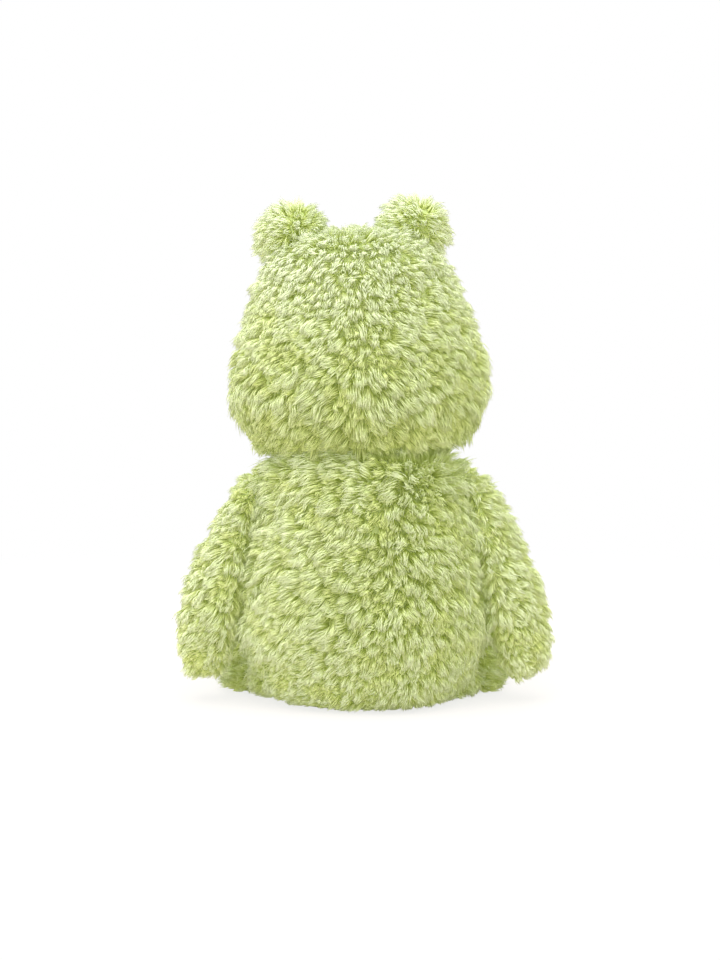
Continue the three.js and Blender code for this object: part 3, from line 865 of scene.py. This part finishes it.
def growLocks(spec, random):
    setup = pileSetup
    places, normals = scatter(forms[spec["form"]], setup["spacing"], random)
    free = clearOf(places, spec["near"])
    if "seat" in spec:
        out = np.hypot(places[:, 0], places[:, 1] / seatSetup["depthShare"])
        free &= ~((normals[:, 2] < setup["seatFacing"]) & (out < spec["seat"]))
    places, normals = places[free], normals[free]
    count = len(places)
    flow, stand = combed(places, spec)
    flow += slowNoise(places, setup["tuftSize"], setup["tuftNoise"]) * setup["tuftPull"]
    flow -= normals * (flow * normals).sum(1, keepdims=True)
    strength = np.linalg.norm(flow, axis=1) * setup["flowGain"]
    strength = np.clip(strength, spec.get("flat", setup["flat"]), 1)
    flow = unit(flow)
    across = np.cross(normals, flow)
    lean = np.radians(random.normal(spec.get("lean", setup["lean"]), setup["leanSpread"], count))
    lean *= strength * stand * atHeight(places, spec.get("stand", ((0, 1),)))
    swirl = np.radians(random.normal(0, setup["swirl"], count))
    side = flow * np.cos(swirl)[:, None] + across * np.sin(swirl)[:, None]
    tipWay = normals * np.cos(lean)[:, None] + side * np.sin(lean)[:, None]
    calm = atHeight(places, spec.get("wave", ((0, 1),)))
    wave = slowNoise(places, setup["waveSize"], setup["waveNoise"])[:, 1] * setup["waveGain"]
    wave = np.clip(wave, -1, 1) * calm
    length = setup["length"] * atHeight(places, spec.get("size", ((0, 1),)))
    length *= (1 + wave * setup["waveHeight"]) * random.normal(1, setup["lengthSpread"], count)
    for x, y, z, reachRound, gain in spec.get("flare", ()):
        away = np.abs(places) * (1, 0, 0) + places * (0, 1, 1) - np.array((x, y, z)) * mm
        length *= 1 + gain * np.exp(-(away ** 2).sum(1) / (reachRound * mm) ** 2)
    # Locks in the valleys of the waves get a greener, darker tone: painted shade.
    tone = 1 - setup["waveValleyShade"] * np.clip(-wave, 0, 1)
    tips, lowTuftShade = gathered(places, places + tipWay * length[:, None], calm, forms[spec["form"]], random)
    length = np.linalg.norm(tips - places, axis=1)
    tipWay = unit(tips - places)
    # The shade tables scale each lock's tone by height: painted light and shade.
    tone *= lowTuftShade * atHeight(places, spec.get("shade", ((0, 1),)))
    reach = reachAlong(places + normals * setup["rayStart"], tipWay, spec["near"], setup["rayReach"])
    length = np.minimum(length, np.maximum(reach * setup["reachShare"], setup["shortest"]))
    tint = slowNoise(places, setup["tintSize"], setup["tintNoise"])[:, 0] * setup["tintWave"]
    tint = setup["tintMiddle"] + tint + random.normal(0, setup["tintSpread"], count)
    # The light tables raise or lower the tint by height: painted light and shade.
    tint = np.clip(tint + atHeight(places, spec.get("light", ((0, 0),))), 0, setup["lockTintMost"])
    return {"places": places, "normals": normals, "tipWay": tipWay, "length": length, "tone": tone,
            "across": unit(np.cross(tipWay, normals) + 1e-9), "tint": tint, "calm": calm}


def bendHairs(locks, random):  # each hair's root, knee and tip
    setup = pileSetup
    each = np.repeat(np.arange(len(locks["places"])), setup["hairs"])
    count = len(each)
    root, normal, tipWay = locks["places"][each], locks["normals"][each], locks["tipWay"][each]
    across, length = locks["across"][each], locks["length"][each]
    over = np.cross(normal, across)
    tipOver = np.cross(tipWay, across)
    share = np.sqrt(random.random(count))
    under = random.random(count) < setup["underShare"]
    share[under] *= setup["underSpread"]
    turn = random.random(count) * 2 * math.pi
    wide = share * np.cos(turn) * setup["lockWidth"]
    deep = share * np.sin(turn) * setup["lockThickness"]
    twist = np.repeat(random.normal(0, setup["twist"], len(locks["places"])), setup["hairs"])
    tipWide = (wide * np.cos(twist) - deep * np.sin(twist)) * setup["tipWidth"]
    tipDeep = (wide * np.sin(twist) + deep * np.cos(twist)) * setup["tipThickness"]
    loss = setup["outerLoss"] * share ** 2 * random.random(count)
    length = length * (1 - loss + random.normal(0, setup["uneven"], count))
    length[under] *= random.uniform(*setup["underLength"], under.sum())
    curl = np.repeat(random.normal(0, setup["curl"], len(locks["places"])), setup["hairs"]) * length
    stray = random.normal(0, setup["stray"], (count, 3)) * length[:, None]
    spread = across * wide[:, None] + over * deep[:, None]
    start = root + spread - normal * setup["rootDepth"]
    knee = root + spread * setup["kneeSpread"] + normal * (length * setup["rise"])[:, None]
    knee += across * curl[:, None]
    tip = root + tipWay * length[:, None] + across * tipWide[:, None] + tipOver * tipDeep[:, None] + stray
    lowest = setup["ground"] + random.random(count) * setup["groundSpread"]
    for curve in (start, knee, tip):
        curve[:, 2] = np.maximum(curve[:, 2], lowest)
    tone = locks["tone"][each]
    # Under hairs get a greener, darker tone, less where the pile is calm: painted shade deep in the pile.
    tone[under] *= np.interp(locks["calm"][each][under], setup["underCalm"], (1, setup["underShade"]))
    return start, knee, tip, across, tone, under


def hairPlaces(blank, start, knee, tip, across, random):  # the blank's points, bent along every hair
    thick = pileSetup["hairRadius"] * random.uniform(*pileSetup["radiusSpread"], len(start))
    shapes = []
    for x, y, t in blank:
        centre = start * (1 - t) ** 2 + knee * 2 * t * (1 - t) + tip * t ** 2
        along = unit((knee - start) * (1 - t) + (tip - knee) * t + 1e-9)
        first = unit(np.cross(along, across + along[:, [1, 2, 0]] * 1e-3))
        second = np.cross(along, first)
        shapes.append(centre + (first * x + second * y) * thick[:, None])
    return np.stack(shapes, 1)


uvSetup = {"stepWidth": 0.01, "flatFace": 0.03, "tipFrom": 0.99, "inside": (0.002, 0.998)}


def hairMesh(name, kind, points, tints, tones):  # every hair of a piece, with its tone and tint as UVs
    hairPoints, hairFaces = hairBlanks[kind]
    count, per = points.shape[:2]
    loops = np.array([i for face in hairFaces for i in face])
    sizes = np.array([len(face) for face in hairFaces])
    starts = np.concatenate([[0], np.cumsum(sizes)[:-1]])
    numbers = np.arange(count)[:, None]
    mesh = bpy.data.meshes.new(name)
    mesh.vertices.add(count * per)
    mesh.vertices.foreach_set("co", points.astype(np.float32).ravel())
    mesh.loops.add(count * len(loops))
    mesh.loops.foreach_set("vertex_index", (numbers * per + loops).astype(np.int32).ravel())
    mesh.polygons.add(count * len(sizes))
    mesh.polygons.foreach_set("loop_start", (numbers * len(loops) + starts).astype(np.int32).ravel())
    mesh.polygons.foreach_set("use_smooth", np.ones(count * len(sizes), bool))
    mesh.update(calc_edges=True)
    angle = np.arctan2(hairPoints[:, 1], hairPoints[:, 0])
    step = np.round(angle / (2 * math.pi / hairSides)) % hairSides
    along = hairPoints[loops, 2].copy()
    across = np.where(along > uvSetup["tipFrom"], 1, step[loops]) * uvSetup["stepWidth"]
    for first, size in zip(starts, sizes):
        if np.ptp(along[first:first + size]) < 1e-6:
            along[first] += uvSetup["flatFace"]
    uv = np.empty((count, len(loops), 2), np.float32)
    uv[:, :, 0] = np.clip(along * tones[:, None], *uvSetup["inside"])
    uv[:, :, 1] = np.clip(across + tints[:, None], *uvSetup["inside"])
    layer = mesh.uv_layers.new(name="OFBake")
    layer.data.foreach_set("uv", uv.ravel())
    piece = bpy.data.objects.new(name, mesh)
    bpy.context.scene.collection.objects.link(piece)
    mesh.materials.append(finishes["pile"])
    return piece


partSetup = {"eyeRoom": 9.3 * mm, "eyeUneven": 0.8 * mm, "eyeBehind": 1.5 * mm, "eyeAhead": 20 * mm,
             "bareShare": 0.75, "bareBehind": 8 * mm, "bareAhead": 5 * mm, "faceFrom": -20 * mm,
             "stitchRoom": 2.6 * mm, "stitchSink": 2.3 * mm, "stitchSearch": 9 * mm, "stitchWidth": 2,
             "stitchFlat": 0.6, "stitchSlope": 1.6, "stitchFacing": (0.7, 1, 0)}


def partRoundEyes(start, knee, tip, random):  # hairs stand aside from the plastic eyes
    setup = partSetup
    keep = np.ones(len(start), bool)
    for sign in (1, -1):
        seat, facing = eyeSeat(sign)
        seat, facing = np.array(seat), np.array(facing)
        room = setup["eyeRoom"] + random.random(len(start)) * setup["eyeUneven"]
        for curve in (knee, tip):
            ahead = (curve - seat) @ facing
            aside = curve - seat - ahead[:, None] * facing
            away = np.linalg.norm(aside, axis=1)
            inside = (ahead > -setup["eyeBehind"]) & (away < room) & (ahead < setup["eyeAhead"])
            push = np.where(inside, room - away, 0)
            curve += unit(aside) * push[:, None]
        depth = (start - seat) @ facing
        aside = np.linalg.norm(start - seat - depth[:, None] * facing, axis=1)
        bare = (depth > -setup["bareBehind"]) & (depth < setup["bareAhead"])
        keep &= ~((aside < eyeSetup["radius"] * setup["bareShare"]) & bare)
    return keep


def pressUnderStitches(curves, places, normals):  # stitches hold the pile down on its cloth
    setup = partSetup
    tree = pointTree(places)
    for curve in curves:
        for i, point in enumerate(curve):
            hit, index, distance = tree.find(Vector(point))
            if distance > setup["stitchSearch"]:
                continue
            offset = point - places[index]
            height = offset @ normals[index]
            aside = np.linalg.norm(offset - height * normals[index])
            if aside < setup["stitchRoom"] * setup["stitchWidth"]:
                clear = max(0, aside - setup["stitchRoom"] * setup["stitchFlat"])
                ceiling = -setup["stitchSink"] + clear * setup["stitchSlope"]
                if height > ceiling:
                    curve[i] = point - normals[index] * (height - ceiling)


def growPile(name, spec, seed):
    random = np.random.default_rng(seed)
    locks = growLocks(spec, random)
    start, knee, tip, across, tones, under = bendHairs(locks, random)
    tints = np.repeat(locks["tint"], pileSetup["hairs"])
    tints = tints + random.normal(0, pileSetup["hairTint"], len(tints))
    tints = np.clip(tints, 0, pileSetup["hairTintMost"])
    keep = np.ones(len(start), bool)
    if spec["body"] == "head":
        keep = partRoundEyes(start, knee, tip, random)
        facing = keep & (start[:, 1] < partSetup["faceFrom"])
        kneeFront, tipFront = knee[facing], tip[facing]
        pressUnderStitches((kneeFront, tipFront), stitchPlaces, stitchNormals)
        knee[facing], tip[facing] = kneeFront, tipFront
    total = 0
    for kind, chosen in (("Locks", keep & ~under), ("Under", keep & under)):
        blank, faces = hairBlanks[kind]
        numbers = np.flatnonzero(chosen)
        numbers = numbers[np.argsort(-start[numbers, 2], kind="stable")]
        points = hairPlaces(blank, start[numbers], knee[numbers], tip[numbers], across[numbers], random)
        triangles = len(points) * len(faces)
        parts = math.ceil(triangles / pileSetup["mostTriangles"])
        for number, part in enumerate(np.array_split(np.arange(len(points)), parts)):
            label = name + kind + ("" if parts == 1 else str(number + 1))
            piece = hairMesh(label, kind, points[part], tints[numbers[part]], tones[numbers[part]])
            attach(piece, spec["body"])
        total += triangles
    print("pile", name, len(locks["places"]), "locks,", total, "triangles")
    return total


stitchPlaces = np.concatenate([mouthPath(), [nostrilMiddle("left")], [nostrilMiddle("right")]])
stitchNormals = unit(stitchPlaces * partSetup["stitchFacing"])
totalTriangles = sum(growPile(name, spec, pileSetup["firstSeed"] + number)
                     for number, (name, spec) in enumerate(piles.items()))
print("pile in all:", totalTriangles, "triangles")
